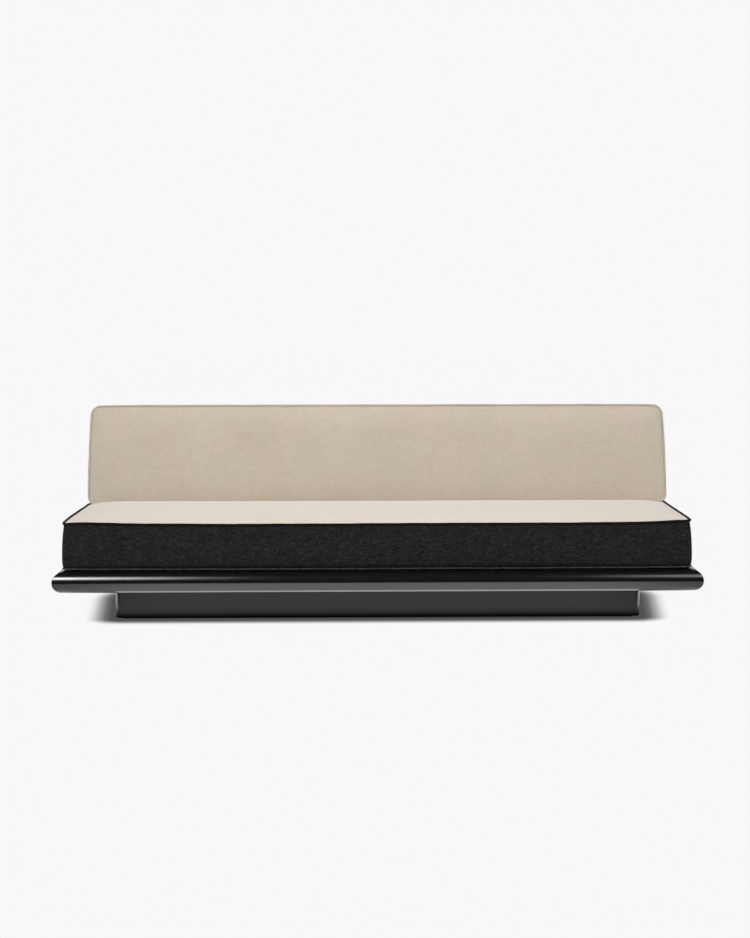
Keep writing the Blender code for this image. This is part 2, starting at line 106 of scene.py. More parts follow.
def steadyShading(piece):
    # large faces keep their own normals, so that gloss doesn't bend beside rounded edges
    takeHold(piece)
    bpy.ops.object.modifier_add(type="WEIGHTED_NORMAL")
    steady = piece.modifiers[-1]
    steady.keep_sharp = True
    bpy.ops.object.modifier_apply(modifier=steady.name)


def finishPiece(piece, body, finishes, standsFor):
    for finish in finishes:
        piece.data.materials.append(finish)
    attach(piece, body)
    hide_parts(*standsFor)


# node helpers for the finishes

def colourRamp(tree, value, stops):
    node = tree.nodes.new("ShaderNodeValToRGB")
    marks = node.color_ramp.elements
    while len(marks) < len(stops):
        marks.new(0.5)
    for mark, (where, colour) in zip(marks, stops):
        mark.position = where
        mark.color = (*colour, 1) if isinstance(colour, tuple) else (colour, colour, colour, 1)
    tree.links.new(value, node.inputs["Fac"])
    return node.outputs["Color"]


class Finish:
    def __init__(self, name):
        self.material = bpy.data.materials.new(name)
        self.material.use_nodes = True
        self.tree = self.material.node_tree
        self.shader = self.tree.nodes["Principled BSDF"]
        self.place = self.tree.nodes.new("ShaderNodeTexCoord").outputs["Object"]

    def put(self, **values):
        for name, value in values.items():
            socket = self.shader.inputs[name.replace("_", " ")]
            socket.default_value = (*value, 1) if isinstance(value, tuple) else value

    def link(self, output, name):
        self.tree.links.new(output, self.shader.inputs[name])

    def stretched(self, scale, turn=(0, 0, 0)):
        mapping = self.tree.nodes.new("ShaderNodeMapping")
        mapping.inputs["Scale"].default_value = scale
        mapping.inputs["Rotation"].default_value = turn
        self.tree.links.new(self.place, mapping.inputs["Vector"])
        return mapping.outputs["Vector"]

    def height(self):
        node = self.tree.nodes.new("ShaderNodeSeparateXYZ")
        self.tree.links.new(self.place, node.inputs["Vector"])
        return node.outputs["Z"]

    def noise(self, scale, detail=2, rough=0.5, warp=0, where=None):
        node = self.tree.nodes.new("ShaderNodeTexNoise")
        node.inputs["Scale"].default_value = scale
        node.inputs["Detail"].default_value = detail
        node.inputs["Roughness"].default_value = rough
        node.inputs["Distortion"].default_value = warp
        self.tree.links.new(where or self.place, node.inputs["Vector"])
        return node.outputs["Fac"]

    def ramp(self, value, *stops):
        return colourRamp(self.tree, value, stops)

    def mix(self, kind, share, first, second):
        node = self.tree.nodes.new("ShaderNodeMix")
        node.data_type = "RGBA"
        node.blend_type = kind
        node.inputs[0].default_value = share
        self.tree.links.new(first, node.inputs[6])
        self.tree.links.new(second, node.inputs[7])
        return node.outputs[2]

    def bump(self, height, strength, depth, under=None):
        node = self.tree.nodes.new("ShaderNodeBump")
        node.inputs["Strength"].default_value = strength
        node.inputs["Distance"].default_value = depth
        self.tree.links.new(height, node.inputs["Height"])
        if under:
            self.tree.links.new(under, node.inputs["Normal"])
        return node.outputs["Normal"]


# camera at the photograph's angle, picture taken as 750 by 938

cameraSet = {
    "place": (-0.008, -7.172, 1.1414),
    "downTilt": 4.80,
    "roll": -0.24,
    "sensor": 36,
    "focalPixels": 1843.8,
    "pictureHeight": 938,
}
cameraData = bpy.data.cameras.new("camera")
cameraData.sensor_width = cameraSet["sensor"]
cameraData.lens = cameraSet["focalPixels"] * cameraSet["sensor"] / cameraSet["pictureHeight"]
camera = bpy.data.objects.new("camera", cameraData)
scene.collection.objects.link(camera)
tilt = Matrix.Rotation(math.radians(90 - cameraSet["downTilt"]), 4, "X")
roll = Matrix.Rotation(math.radians(cameraSet["roll"]), 4, "Z")
camera.matrix_world = Matrix.Translation(cameraSet["place"]) @ (tilt @ roll)
scene.camera = camera
print("camera set")


plinthHalf = (0.9913, 0.2753)  # half length and half depth, which the floor's shadow follows too


# studio: floor and surround that read white, a dim room in front, soft lamps, and strips that gloss shows

studio = {
    "white": 0.939,
    "floorSize": 80,
    "floorColour": (0.80, 0.80, 0.80),
    "floorRoughness": 0.9,
    # the shadow's tones by distance from the plinth in metres, as seen straight and in gloss
    "shadowTones": (
        (0.002, 0.01), (0.010, 0.08), (0.055, 0.09), (0.078, 0.18), (0.103, 0.45),
        (0.125, 0.79), (0.145, 0.97), (0.160, 1.0),
    ),
    "glossTones": (
        (0.010, 0.01), (0.023, 0.03), (0.068, 0.21), (0.136, 0.72), (0.180, 0.80),
        (0.227, 0.97), (0.260, 1.0),
    ),
    "shadowShorter": 0.036,  # at each end of the plinth
    "shadowWidens": (-0.27, 0.21, 0.055),  # from the front, to the back, by how much
    "shadowFoot": 0.08,  # distance at which it has all that width
    # gloss sees the floor bright near the sofa and dim further off
    "poolOut": (0.92, 1.50),
    "poolEnds": (0.75, 1.50),
    "poolEndShare": 0.39,
    "poolFront": (0.25, 0.60),
    "poolCorner": (1.12, 1.26),
    "poolCornerFront": (0.36, 0.50),
    "poolCornerGain": 1.2,
    "skyLight": 0.34,
    "roomGlow": 0.055,
    "backdropFrom": (0.3, 0.7),
    "backdropHeight": (0.06, 0.16),
    "stripFade": (0.88, 0.36),
    "lamps": {
        # place, aim, width, height, watts
        "leftSoftbox": ((-2.9, -4.2, 2.9), (0, -0.2, 0.4), 2.4, 1.6, 69),
        "rightSoftbox": ((3.0, -4.2, 2.9), (0, -0.2, 0.4), 2.4, 1.6, 57),
        "topSoftbox": ((0, 0.35, 3.7), (0, 0.25, 0.3), 4.6, 1.8, 98),
        "lowFill": ((0, -5.6, 0.9), (0, 0.1, 0.5), 4.0, 1.2, 44),
    },
    "strips": {
        # place, aim, width, height, watts, end that fades
        "leftStrip": ((-2.05, -3.7, 3.5), (-2.05, -0.48, 0.17), 2.8, 3.9, 336, 1),
        "leftGlint": ((-2.20, -3.6, 3.45), (-2.20, -0.48, 0.17), 1.1, 1.6, 110, 1),
        "rightStrip": ((2.36, -3.7, 3.75), (2.36, -0.48, 0.17), 2.8, 4.2, 118, -1),
    },
}


def eitherRay(tree, *names):
    rays = tree.nodes.new("ShaderNodeLightPath")
    total = rays.outputs[names[0]]
    for name in names[1:]:
        most = tree.nodes.new("ShaderNodeMath")
        most.operation = "MAXIMUM"
        tree.links.new(total, most.inputs[0])
        tree.links.new(rays.outputs[name], most.inputs[1])
        total = most.outputs[0]
    return total


def fadeOut(tree, value, near, far, low=0.0, high=1.0):
    # high up to near, low from far on, whatever the sign of the value
    size = tree.nodes.new("ShaderNodeMath")
    size.operation = "ABSOLUTE"
    tree.links.new(value, size.inputs[0])
    fade = tree.nodes.new("ShaderNodeMapRange")
    fade.interpolation_type = "SMOOTHSTEP"
    for name, setting in (("From Min", near), ("From Max", far), ("To Min", high), ("To Max", low)):
        fade.inputs[name].default_value = setting
    tree.links.new(size.outputs[0], fade.inputs["Value"])
    return fade.outputs["Result"]


def timesTogether(tree, first, second):
    product = tree.nodes.new("ShaderNodeMath")
    product.operation = "MULTIPLY"
    for value, socket in ((first, product.inputs[0]), (second, product.inputs[1])):
        if hasattr(value, "node"):
            tree.links.new(value, socket)
        else:
            socket.default_value = value
    return product.outputs[0]


def plinthDistance(tree, place, shorter=0):
    outline = (plinthHalf[0] - shorter, plinthHalf[1], 0)
    steps = (("ABSOLUTE", None), ("SUBTRACT", outline), ("MAXIMUM", (0, 0, 0)), ("LENGTH", None))
    value = place
    for kind, setting in steps:
        step = tree.nodes.new("ShaderNodeVectorMath")
        step.operation = kind
        tree.links.new(value, step.inputs[0])
        if setting:
            step.inputs[1].default_value = setting
        value = step.outputs["Value" if kind == "LENGTH" else "Vector"]
    return value


def shadowAround(tree, distance, where):
    # the light is in front, so the shadow widens to the back, but not the dark line at the plinth's foot
    wider = tree.nodes.new("ShaderNodeMapRange")
    for name, setting in zip(("From Min", "From Max", "To Max"), studio["shadowWidens"]):
        wider.inputs[name].default_value = setting
    tree.links.new(where.outputs["Y"], wider.inputs["Value"])
    clear = fadeOut(tree, distance, 0, studio["shadowFoot"], low=1, high=0)
    nearer = tree.nodes.new("ShaderNodeMath")
    nearer.operation = "SUBTRACT"
    tree.links.new(distance, nearer.inputs[0])
    tree.links.new(timesTogether(tree, wider.outputs["Result"], clear), nearer.inputs[1])
    return colourRamp(tree, nearer.outputs[0], studio["shadowTones"])


def poolOfLight(tree, where):
    # gloss sees the floor dim further out and at its ends, but bright where the plinth's round corners look
    sideways = where.outputs["X"]
    forwards = where.outputs["Y"]
    ends = tree.nodes.new("ShaderNodeMix")
    ends.inputs[3].default_value = 1
    tree.links.new(fadeOut(tree, forwards, *studio["poolFront"]), ends.inputs[0])
    tree.links.new(fadeOut(tree, sideways, *studio["poolEnds"], low=studio["poolEndShare"]), ends.inputs[2])
    outwards = fadeOut(tree, forwards, *studio["poolOut"], low=studio["roomGlow"])
    pool = timesTogether(tree, outwards, ends.outputs[0])
    beside = tree.nodes.new("ShaderNodeMath")
    beside.operation = "MULTIPLY_ADD"
    beside.inputs[1].default_value = studio["poolCornerGain"]
    beside.inputs[2].default_value = 1
    pastEnds = fadeOut(tree, sideways, *studio["poolCorner"], low=1.0, high=0.0)
    byCorners = fadeOut(tree, forwards, *studio["poolCornerFront"])
    tree.links.new(timesTogether(tree, pastEnds, byCorners), beside.inputs[0])
    return timesTogether(tree, pool, beside.outputs[0])


def makeFloor():
    clearSelection()
    bpy.ops.mesh.primitive_plane_add(size=studio["floorSize"])
    floor = bpy.context.object
    floor.name = "studio_floor"
    paint = bpy.data.materials.new("studioFloor")
    paint.use_nodes = True
    tree = paint.node_tree
    matt = tree.nodes["Principled BSDF"]
    matt.inputs["Base Color"].default_value = (*studio["floorColour"], 1)
    matt.inputs["Roughness"].default_value = studio["floorRoughness"]
    matt.inputs["Specular IOR Level"].default_value = 0
    place = tree.nodes.new("ShaderNodeTexCoord").outputs["Object"]
    where = tree.nodes.new("ShaderNodeSeparateXYZ")
    tree.links.new(place, where.inputs["Vector"])
    seenDistance = plinthDistance(tree, place, studio["shadowShorter"])
    glossDistance = plinthDistance(tree, place)
    inGloss = tree.nodes.new("ShaderNodeLightPath").outputs["Is Glossy Ray"]
    shadow = tree.nodes.new("ShaderNodeMix")
    shadow.data_type = "RGBA"
    strength = tree.nodes.new("ShaderNodeMix")
    strength.inputs[2].default_value = 1
    for value, socket in (
        (inGloss, shadow.inputs[0]),
        (shadowAround(tree, seenDistance, where), shadow.inputs[6]),
        (colourRamp(tree, glossDistance, studio["glossTones"]), shadow.inputs[7]),
        (inGloss, strength.inputs[0]),
        (poolOfLight(tree, where), strength.inputs[3]),
    ):
        tree.links.new(value, socket)
    white = tree.nodes.new("ShaderNodeEmission")
    tree.links.new(shadow.outputs[2], white.inputs["Color"])
    tree.links.new(timesTogether(tree, strength.outputs[0], studio["white"]), white.inputs["Strength"])
    choice = tree.nodes.new("ShaderNodeMixShader")
    looking = eitherRay(tree, "Is Camera Ray", "Is Glossy Ray", "Is Transmission Ray")
    tree.links.new(looking, choice.inputs["Fac"])
    tree.links.new(matt.outputs["BSDF"], choice.inputs[1])
    tree.links.new(white.outputs["Emission"], choice.inputs[2])
    tree.links.new(choice.outputs["Shader"], tree.nodes["Material Output"].inputs["Surface"])
    floor.data.materials.append(paint)


def makeSurround():
    world = bpy.data.worlds.new("studioSurround")
    world.use_nodes = True
    scene.world = world
    tree = world.node_tree
    glow = tree.nodes["Background"]
    glow.inputs["Color"].default_value = (1, 1, 1, 1)
    # gloss and glass see the white backdrop low behind the sofa, and the dim room elsewhere
    towards = tree.nodes.new("ShaderNodeSeparateXYZ")
    tree.links.new(tree.nodes.new("ShaderNodeTexCoord").outputs["Generated"], towards.inputs["Vector"])
    behind = tree.nodes.new("ShaderNodeMapRange")
    behind.inputs["From Min"].default_value = studio["backdropFrom"][0]
    behind.inputs["From Max"].default_value = studio["backdropFrom"][1]
    tree.links.new(towards.outputs["Y"], behind.inputs["Value"])
    backdrop = tree.nodes.new("ShaderNodeMapRange")
    backdrop.inputs["To Min"].default_value = studio["roomGlow"]
    backdrop.inputs["To Max"].default_value = studio["white"]
    low = fadeOut(tree, towards.outputs["Z"], *studio["backdropHeight"])
    tree.links.new(timesTogether(tree, behind.outputs["Result"], low), backdrop.inputs["Value"])
    rays = tree.nodes.new("ShaderNodeLightPath")
    soft = tree.nodes.new("ShaderNodeMix")
    soft.inputs[2].default_value = studio["skyLight"]
    tree.links.new(eitherRay(tree, "Is Glossy Ray", "Is Transmission Ray"), soft.inputs[0])
    tree.links.new(backdrop.outputs["Result"], soft.inputs[3])
    seen = tree.nodes.new("ShaderNodeMix")
    seen.inputs[3].default_value = studio["white"]
    tree.links.new(rays.outputs["Is Camera Ray"], seen.inputs[0])
    tree.links.new(soft.outputs[0], seen.inputs[2])
    tree.links.new(seen.outputs[0], glow.inputs["Strength"])


def hangLamp(name, place, aim, width, height, watts):
    lampData = bpy.data.lights.new(name, "AREA")
    lampData.shape = "RECTANGLE"
    lampData.size = width
    lampData.size_y = height
    lampData.energy = watts
    lamp = bpy.data.objects.new(name, lampData)
    scene.collection.objects.link(lamp)
    lamp.location = place
    lamp.rotation_euler = (Vector(aim) - Vector(place)).to_track_quat("-Z", "Y").to_euler()
    lamp.visible_camera = False
    return lamp


def fadeLamp(lamp, end):
    # a strip that dims towards its inner end, and to its upper and lower edges
    lampData = lamp.data
    lampData.use_nodes = True
    tree = lampData.node_tree
    across = tree.nodes.new("ShaderNodeSeparateXYZ")
    tree.links.new(tree.nodes.new("ShaderNodeNewGeometry").outputs["Parametric"], across.inputs["Vector"])
    inner = tree.nodes.new("ShaderNodeMapRange")
    dark, bright = studio["stripFade"]
    if end < 0:
        dark, bright = 1 - dark, 1 - bright
    for name, setting in (("From Min", dark), ("From Max", bright), ("To Min", 0), ("To Max", 1)):
        inner.inputs[name].default_value = setting
    tree.links.new(across.outputs["X"], inner.inputs["Value"])
    middle = 0.5  # the strip's height runs from 0 to 1
    height = tree.nodes.new("ShaderNodeMath")
    height.operation = "SUBTRACT"
    height.inputs[1].default_value = middle
    tree.links.new(across.outputs["Y"], height.inputs[0])
    upright = fadeOut(tree, height.outputs[0], 0, middle)
    glow = timesTogether(tree, inner.outputs["Result"], upright)
    tree.links.new(glow, tree.nodes["Emission"].inputs["Strength"])


makeFloor()
makeSurround()
for name, facts in studio["lamps"].items():
    hangLamp(name, *facts).visible_glossy = False
for name, (*facts, end) in studio["strips"].items():
    strip = hangLamp(name, *facts)
    strip.visible_diffuse = False
    fadeLamp(strip, end)
print("studio set")


# finishes

def makeBeigeVelvet(name, warm, cool, sheen):
    velvet = Finish(name)
    lying = velvet.stretched((0.55, 1, 1))
    patches = velvet.noise(3.1, 3, 0.55)
    hues = velvet.noise(7.5, 2, 0.5)
    clouds = velvet.noise(42, 4, 0.62, 0.5, lying)
    flecks = velvet.noise(260, 3, 0.65, 0.3, lying)
    fuzz = velvet.noise(1500, 2, 0.6)
    tone = velvet.ramp(hues, (0.36, warm), (0.64, cool))
    tone = velvet.mix("OVERLAY", 0.16, tone, velvet.ramp(patches, (0.30, 0.40), (0.70, 0.60)))
    tone = velvet.mix("OVERLAY", 0.11, tone, velvet.ramp(clouds, (0.32, 0.36), (0.68, 0.64)))
    tone = velvet.mix("OVERLAY", 0.28, tone, velvet.ramp(flecks, (0.34, 0.36), (0.66, 0.64)))
    velvet.link(tone, "Base Color")
    velvet.put(Roughness=0.92, Specular_IOR_Level=0.10)
    velvet.put(Sheen_Weight=sheen, Sheen_Roughness=0.36, Sheen_Tint=(0.94, 0.97, 1.0))
    pile = velvet.bump(fuzz, 0.35, 0.0004)
    velvet.link(velvet.bump(clouds, 0.11, 0.0012, pile), "Normal")
    return velvet.material


def makeBlackVelvet(name, shade=1.0, sheen=0.06, tint=(1.0, 1.0, 1.0), foot=None):
    velvet = Finish(name)
    clouds = velvet.noise(30, 4, 0.65, 0.6)
    strokes = velvet.noise(150, 4, 0.70, 1.4, velvet.stretched((0.5, 0.7, 1), (0.1, 0.25, 0.1)))
    flecks = velvet.noise(420, 2, 0.6)
    fuzz = velvet.noise(1400, 2, 0.6)

    def toned(value):
        return tuple(value * shade * t for t in tint)

    tone = velvet.ramp(
        strokes, (0.34, toned(0.0075)), (0.52, toned(0.0165)), (0.64, toned(0.0325)), (0.78, toned(0.0560)),
    )
    tone = velvet.mix("MULTIPLY", 0.45, tone, velvet.ramp(clouds, (0.34, 0.55), (0.66, 1.0)))
    tone = velvet.mix("OVERLAY", 0.45, tone, velvet.ramp(flecks, (0.34, 0.34), (0.66, 0.66)))
    # painted shade: the boxing is darkened towards its foot, where shade falls by the deck under it
    if foot:
        paintedFootShade = velvet.ramp(velvet.height(), (foot[0], 0.30), (foot[1], 1.0))
        tone = velvet.mix("MULTIPLY", 1, tone, paintedFootShade)
    velvet.link(tone, "Base Color")
    velvet.put(Roughness=0.95, Specular_IOR_Level=0.10)
    velvet.put(Sheen_Weight=sheen, Sheen_Roughness=0.4, Sheen_Tint=(0.92, 0.92, 0.95))
    pile = velvet.bump(fuzz, 0.35, 0.0004)
    velvet.link(velvet.bump(strokes, 0.25, 0.0008, pile), "Normal")
    return velvet.material


def makeRailLacquer():
    lacquer = Finish("railLacquer")
    ripple = lacquer.noise(14, 2, 0.5)
    dust = lacquer.noise(700, 2, 0.5)
    tone = lacquer.ramp(dust, (0.55, (0.0008, 0.0008, 0.0009)), (0.80, (0.0022, 0.0022, 0.0024)))
    lacquer.link(tone, "Base Color")
    lacquer.link(lacquer.ramp(lacquer.noise(9, 4, 0.6), (0.3, 0.13), (0.7, 0.17)), "Roughness")
    lacquer.put(IOR=2.02)
    lacquer.link(lacquer.bump(ripple, 0.02, 0.0010), "Normal")
    return lacquer.material


def makePlinthLacquer():
    lacquer = Finish("plinthLacquer")
    ripple = lacquer.noise(20, 2, 0.5)
    dust = lacquer.noise(650, 2, 0.5)
    tone = lacquer.ramp(dust, (0.55, (0.0010, 0.0010, 0.0012)), (0.80, (0.0026, 0.0026, 0.0029)))
    lacquer.link(tone, "Base Color")
    lacquer.link(lacquer.ramp(lacquer.noise(8, 4, 0.6), (0.3, 0.05), (0.7, 0.075)), "Roughness")
    lacquer.put(IOR=1.52)
    lacquer.link(lacquer.bump(ripple, 0.03, 0.0010), "Normal")
    return lacquer.material


def makeSoftwood():
    wood = Finish("softwood")
    grain = wood.stretched((1, 0.05, 1))
    rings = wood.noise(44, 3, 0.55, 0.9, grain)
    pores = wood.noise(420, 2, 0.6, 0, grain)
    tone = wood.ramp(
        rings, (0.32, (0.56, 0.37, 0.20)), (0.50, (0.67, 0.48, 0.29)), (0.70, (0.47, 0.29, 0.15)),
    )
    tone = wood.mix("MULTIPLY", 0.40, tone, wood.ramp(pores, (0.36, 0.68), (0.60, 1.0)))
    wood.link(tone, "Base Color")
    wood.link(wood.ramp(rings, (0.3, 0.55), (0.7, 0.70)), "Roughness")
    wood.link(wood.bump(pores, 0.25, 0.0003), "Normal")
    return wood.material


def makeGlidePlastic():
    plastic = Finish("glidePlastic")
    grain = plastic.noise(900, 2, 0.5)
    scuffs = plastic.noise(120, 4, 0.7, 1.0)
    tone = plastic.ramp(scuffs, (0.45, (0.012, 0.012, 0.013)), (0.75, (0.040, 0.040, 0.042)))
    plastic.link(tone, "Base Color")
    plastic.link(plastic.ramp(scuffs, (0.3, 0.42), (0.7, 0.60)), "Roughness")
    plastic.link(plastic.bump(grain, 0.2, 0.0002), "Normal")
    return plastic.material


def makeZincSteel():
    zinc = Finish("zincSteel")
    spangle = zinc.noise(160, 3, 0.6, 0.8)
    drawn = zinc.noise(700, 2, 0.6, 0, zinc.stretched((1, 1, 0.08)))
    zinc.link(zinc.ramp(spangle, (0.32, (0.46, 0.47, 0.49)), (0.68, (0.62, 0.63, 0.64))), "Base Color")
    zinc.link(zinc.ramp(drawn, (0.3, 0.30), (0.7, 0.46)), "Roughness")
    zinc.put(Metallic=1.0)
    zinc.link(zinc.bump(drawn, 0.12, 0.0002), "Normal")
    return zinc.material


def makeBladeCoat():
    coat = Finish("bladeCoat")
    peel = coat.noise(620, 3, 0.55)
    wear = coat.noise(35, 4, 0.7, 0.6)
    coat.link(coat.ramp(wear, (0.40, (0.012, 0.012, 0.013)), (0.72, (0.030, 0.030, 0.031))), "Base Color")
    coat.link(coat.ramp(peel, (0.3, 0.38), (0.7, 0.52)), "Roughness")
    coat.link(coat.bump(peel, 0.35, 0.0003), "Normal")
    return coat.material


beigeVelvet = makeBeigeVelvet("beigeVelvet", (0.546, 0.466, 0.386), (0.530, 0.471, 0.382), 0.33)
# the seat's top: the same beige velvet painted lighter and whiter, as painted light falling from above
paintedLitSeatVelvet = makeBeigeVelvet("paintedLitSeatVelvet", (0.642, 0.565, 0.502), (0.614, 0.579, 0.494), 0.45)
beigeCord = makeBeigeVelvet("beigeCord", (0.520, 0.444, 0.368), (0.505, 0.450, 0.364), 0.30)
# the seat's boxing gets painted shade at its foot, between these heights
blackVelvet = makeBlackVelvet("blackVelvet", foot=(0.208, 0.227))
blackCord = makeBlackVelvet("blackCord", 0.42, 0.05, (1.06, 0.95, 1.10))
# the seat's bottom cord: the black velvet painted lighter, a painted highlight along the cord
paintedLitCord = makeBlackVelvet("paintedLitCord", 3.6, 0.40)
railLacquer = makeRailLacquer()
plinthLacquer = makePlinthLacquer()
softwood = makeSoftwood()
glidePlastic = makeGlidePlastic()
zincSteel = makeZincSteel()
bladeCoat = makeBladeCoat()


def dressNodes(finish, *starts):
    # solids that stay as they are get the better finish
    for name, node in nodes.items():
        if name.startswith(starts):
            for place in node.material_slots:
                place.material = finish


dressNodes(softwood, "plinth_stretcher", "platform_rib")
dressNodes(plinthLacquer, "plinth_post")
dressNodes(glidePlastic, "glide_")
dressNodes(zincSteel, "backrest_socket", "plinth_bolt")
print("finishes mixed")


# platform: one lacquered board with a half-round nose all round, mitred at the corners

platformSet = {
    "low": (-1.195, -0.48, 0.1225),
    "high": (1.195, 0.48, 0.2025),
    "nose": 0.0399,
    "noseSteps": 22,
    "mitreEase": 0.0012,
    "mitreSteps": 2,
    "soffitInset": 0.020,
    "soffitGroove": 0.0015,
    "smoothBelow": 12,  # degrees
    # light from under the front edge, which only the board's gloss shows: place, aim, width, depth, watts
    "underShine": ((0, -0.345, 0.004), (0, -0.345, 1), 1.96, 0.17, 1.2),
}


def shineUnder(board):
    shine = hangLamp("underShine", *platformSet["underShine"])
    shine.visible_diffuse = False
    lit = bpy.data.collections.new("litFromUnder")
    lit.objects.link(board)
    shine.light_linking.receiver_collection = lit


def makePlatform():
    low, high = Vector(platformSet["low"]), Vector(platformSet["high"])
    board = addBlock("platform_board", low, high)
    pickEdges(board, lambda a, b: abs(a.z - b.z) < 1e-5)  # top and bottom outlines
    bpy.ops.mesh.bevel(
        offset=platformSet["nose"], segments=platformSet["noseSteps"], profile=0.5,
        affect="EDGES", clamp_overlap=False,
    )

    def onMitre(p):
        inX, inY = high.x - abs(p.x), high.y - abs(p.y)
        return abs(inX - inY) < 1e-5 and inX < platformSet["nose"] - 1e-4

    # the short edges of the nose that lie on a mitre
    pickEdges(board, lambda a, b: onMitre(a) and onMitre(b) and 1e-6 < (a - b).length < 0.02)
    roundPicked(platformSet["mitreEase"], platformSet["mitreSteps"])
    pickFaces(board, lambda c, n: n.z < -0.99 and c.z < low.z + 1e-6)  # underside
    bpy.ops.mesh.inset(thickness=platformSet["soffitInset"])
    bpy.ops.mesh.inset(thickness=platformSet["soffitGroove"], depth=-platformSet["soffitGroove"])
    bpy.ops.object.mode_set(mode="OBJECT")
    smoothFaces(board, platformSet["smoothBelow"])
    steadyShading(board)
    shineUnder(board)
    finishPiece(
        board, "base", [railLacquer],
        [
            "platform_front_rail", "platform_rear_rail", "platform_left_rail", "platform_right_rail",
            "platform_deck", "platform_soffit",
        ],
    )


makePlatform()
print("platform made")


# plinth: a lacquered ring with rounded corners, open underneath

plinthSet = {
    "low": (-plinthHalf[0], -plinthHalf[1], 0.0006),
    "high": (*plinthHalf, 0.1222),
    "corner": 0.0223,
    "cornerSteps": 12,
    "foot": 0.004,
    "footSteps": 6,
    "wall": 0.022,
    "skin": 0.0005,  # left above the hollow
    "smoothBelow": 32,
}


def makePlinth():
    low, high = Vector(plinthSet["low"]), Vector(plinthSet["high"])
    ring = addBlock("plinth_ring", low, high)
    pickEdges(ring, lambda a, b: abs(a.z - b.z) > 0.01)  # upright corners
    roundPicked(plinthSet["corner"], plinthSet["cornerSteps"])
    pickEdges(ring, lambda a, b: abs(a.z - low.z) < 1e-5 and abs(b.z - low.z) < 1e-5)  # foot
    roundPicked(plinthSet["foot"], plinthSet["footSteps"])
    pickFaces(ring, lambda c, n: n.z < -0.99 and c.z < low.z + 1e-6)
    bpy.ops.mesh.inset(thickness=plinthSet["wall"] - plinthSet["foot"])
    hollow = high.z - low.z - plinthSet["skin"]
    bpy.ops.mesh.extrude_region_move(TRANSFORM_OT_translate={"value": (0, 0, hollow)})
    bpy.ops.object.mode_set(mode="OBJECT")
    smoothFaces(ring, plinthSet["smoothBelow"])
    steadyShading(ring)
    finishPiece(
        ring, "base", [plinthLacquer],
        ["plinth_front_panel", "plinth_rear_panel", "plinth_left_panel", "plinth_right_panel"],
    )


makePlinth()
print("plinth made")


# cushions: a block cut into rows, laid to the cushion's outline, and blown up as cloth with its seams held

clothSet = {
    "quality": 4,
    "mass": 0.25,
    "stretch": 18,
    "shear": 8,
    "bending": 2,
    "frames": 20,
}
weltSet = {
    "roundness": 4,
    "wanderScale": 11,
    "uneven": 0.10,
    "unevenScale": 23,
}
onFace = 0.9999  # share of the block's half size past which a point is on its outside


def cutBlock(name, rows):
    clearSelection()
    bpy.ops.mesh.primitive_cube_add(size=2)
    block = bpy.context.object
    block.name = name
    for axis, count in enumerate(rows):
        pickEdges(block, lambda a, b: abs(a[axis] - b[axis]) > 1e-6)
        bpy.ops.mesh.subdivide(number_cuts=count - 1)
        bpy.ops.object.mode_set(mode="OBJECT")
    return block


def shareAlong(place, rows, cornerRows, corner):
    # close rows in the rounded corners, even rows between
    step = round((place + 1) / 2 * rows) - cornerRows
    middle = rows - 2 * cornerRows
    if step < 0:
        return -corner + (1 - corner) * step / cornerRows
    if step > middle:
        return corner + (1 - corner) * (step - middle) / cornerRows
    return corner * (2 * step / middle - 1)


def roundedPlace(s, t, halfU, halfV, radius):
    u, v = s * halfU, t * halfV
    p = (abs(u) - halfU + radius) / radius
    q = (abs(v) - halfV + radius) / radius
    if p > 0 and q > 0:
        u = math.copysign(halfU - radius + radius * p * math.sqrt(1 - q * q / 2), s)
        v = math.copysign(halfV - radius + radius * q * math.sqrt(1 - p * p / 2), t)
    return u, v


def blowUp(piece, held, caps, pressure):
    frames = clothSet["frames"]
    start = [v.co.copy() for v in piece.data.vertices]
    takeHold(piece)
    seams = piece.vertex_groups.new(name="seams")
    seams.add(held, 1.0, "REPLACE")
    bpy.ops.object.modifier_add(type="CLOTH")
    cloth = piece.modifiers[-1]
    cloth.settings.quality = clothSet["quality"]
    cloth.settings.mass = clothSet["mass"]
    cloth.settings.tension_stiffness = clothSet["stretch"]
    cloth.settings.compression_stiffness = clothSet["stretch"]
    cloth.settings.shear_stiffness = clothSet["shear"]
    cloth.settings.bending_stiffness = clothSet["bending"]
    cloth.settings.use_pressure = True
    cloth.settings.uniform_pressure_force = pressure
    cloth.settings.vertex_group_mass = "seams"
    cloth.settings.effector_weights.gravity = 0
    cloth.collision_settings.use_collision = False
    cloth.point_cache.frame_start = 1
    cloth.point_cache.frame_end = frames
    for step in range(1, frames + 1):
        scene.frame_set(step)
    bpy.ops.object.modifier_apply(modifier=cloth.name)
    scene.frame_set(1)
    reach = 0
    for v, at, cap in zip(piece.data.vertices, start, caps):
        move = v.co - at
        far = move.length
        reach = max(reach, far)
        v.co = at + move * (cap * math.tanh(far / cap) / far) if cap > 0 and far > 1e-9 else at
    print(f"{piece.name} swelled by up to {reach * 1000:.0f} mm before its cap")
    piece.vertex_groups.clear()


def subdivideOnce(piece):
    takeHold(piece)
    bpy.ops.object.modifier_add(type="SUBSURF")
    piece.modifiers[-1].levels = 1
    piece.modifiers[-1].render_levels = 1
    bpy.ops.object.modifier_apply(modifier=piece.modifiers[-1].name)


def edgeShares(rows, cornerRows, cornerS, cornerT):
    # the outline's places in turn, as shares of the half width and half depth
    along = [shareAlong(-1 + 2 * i / rows[0], rows[0], cornerRows, cornerS) for i in range(rows[0] + 1)]
    across = [shareAlong(-1 + 2 * i / rows[1], rows[1], cornerRows, cornerT) for i in range(rows[1] + 1)]
    return (
        [(s, -1) for s in along[:-1]] + [(1, t) for t in across[:-1]]
        + [(s, 1) for s in along[:0:-1]] + [(-1, t) for t in across[:0:-1]]
    )


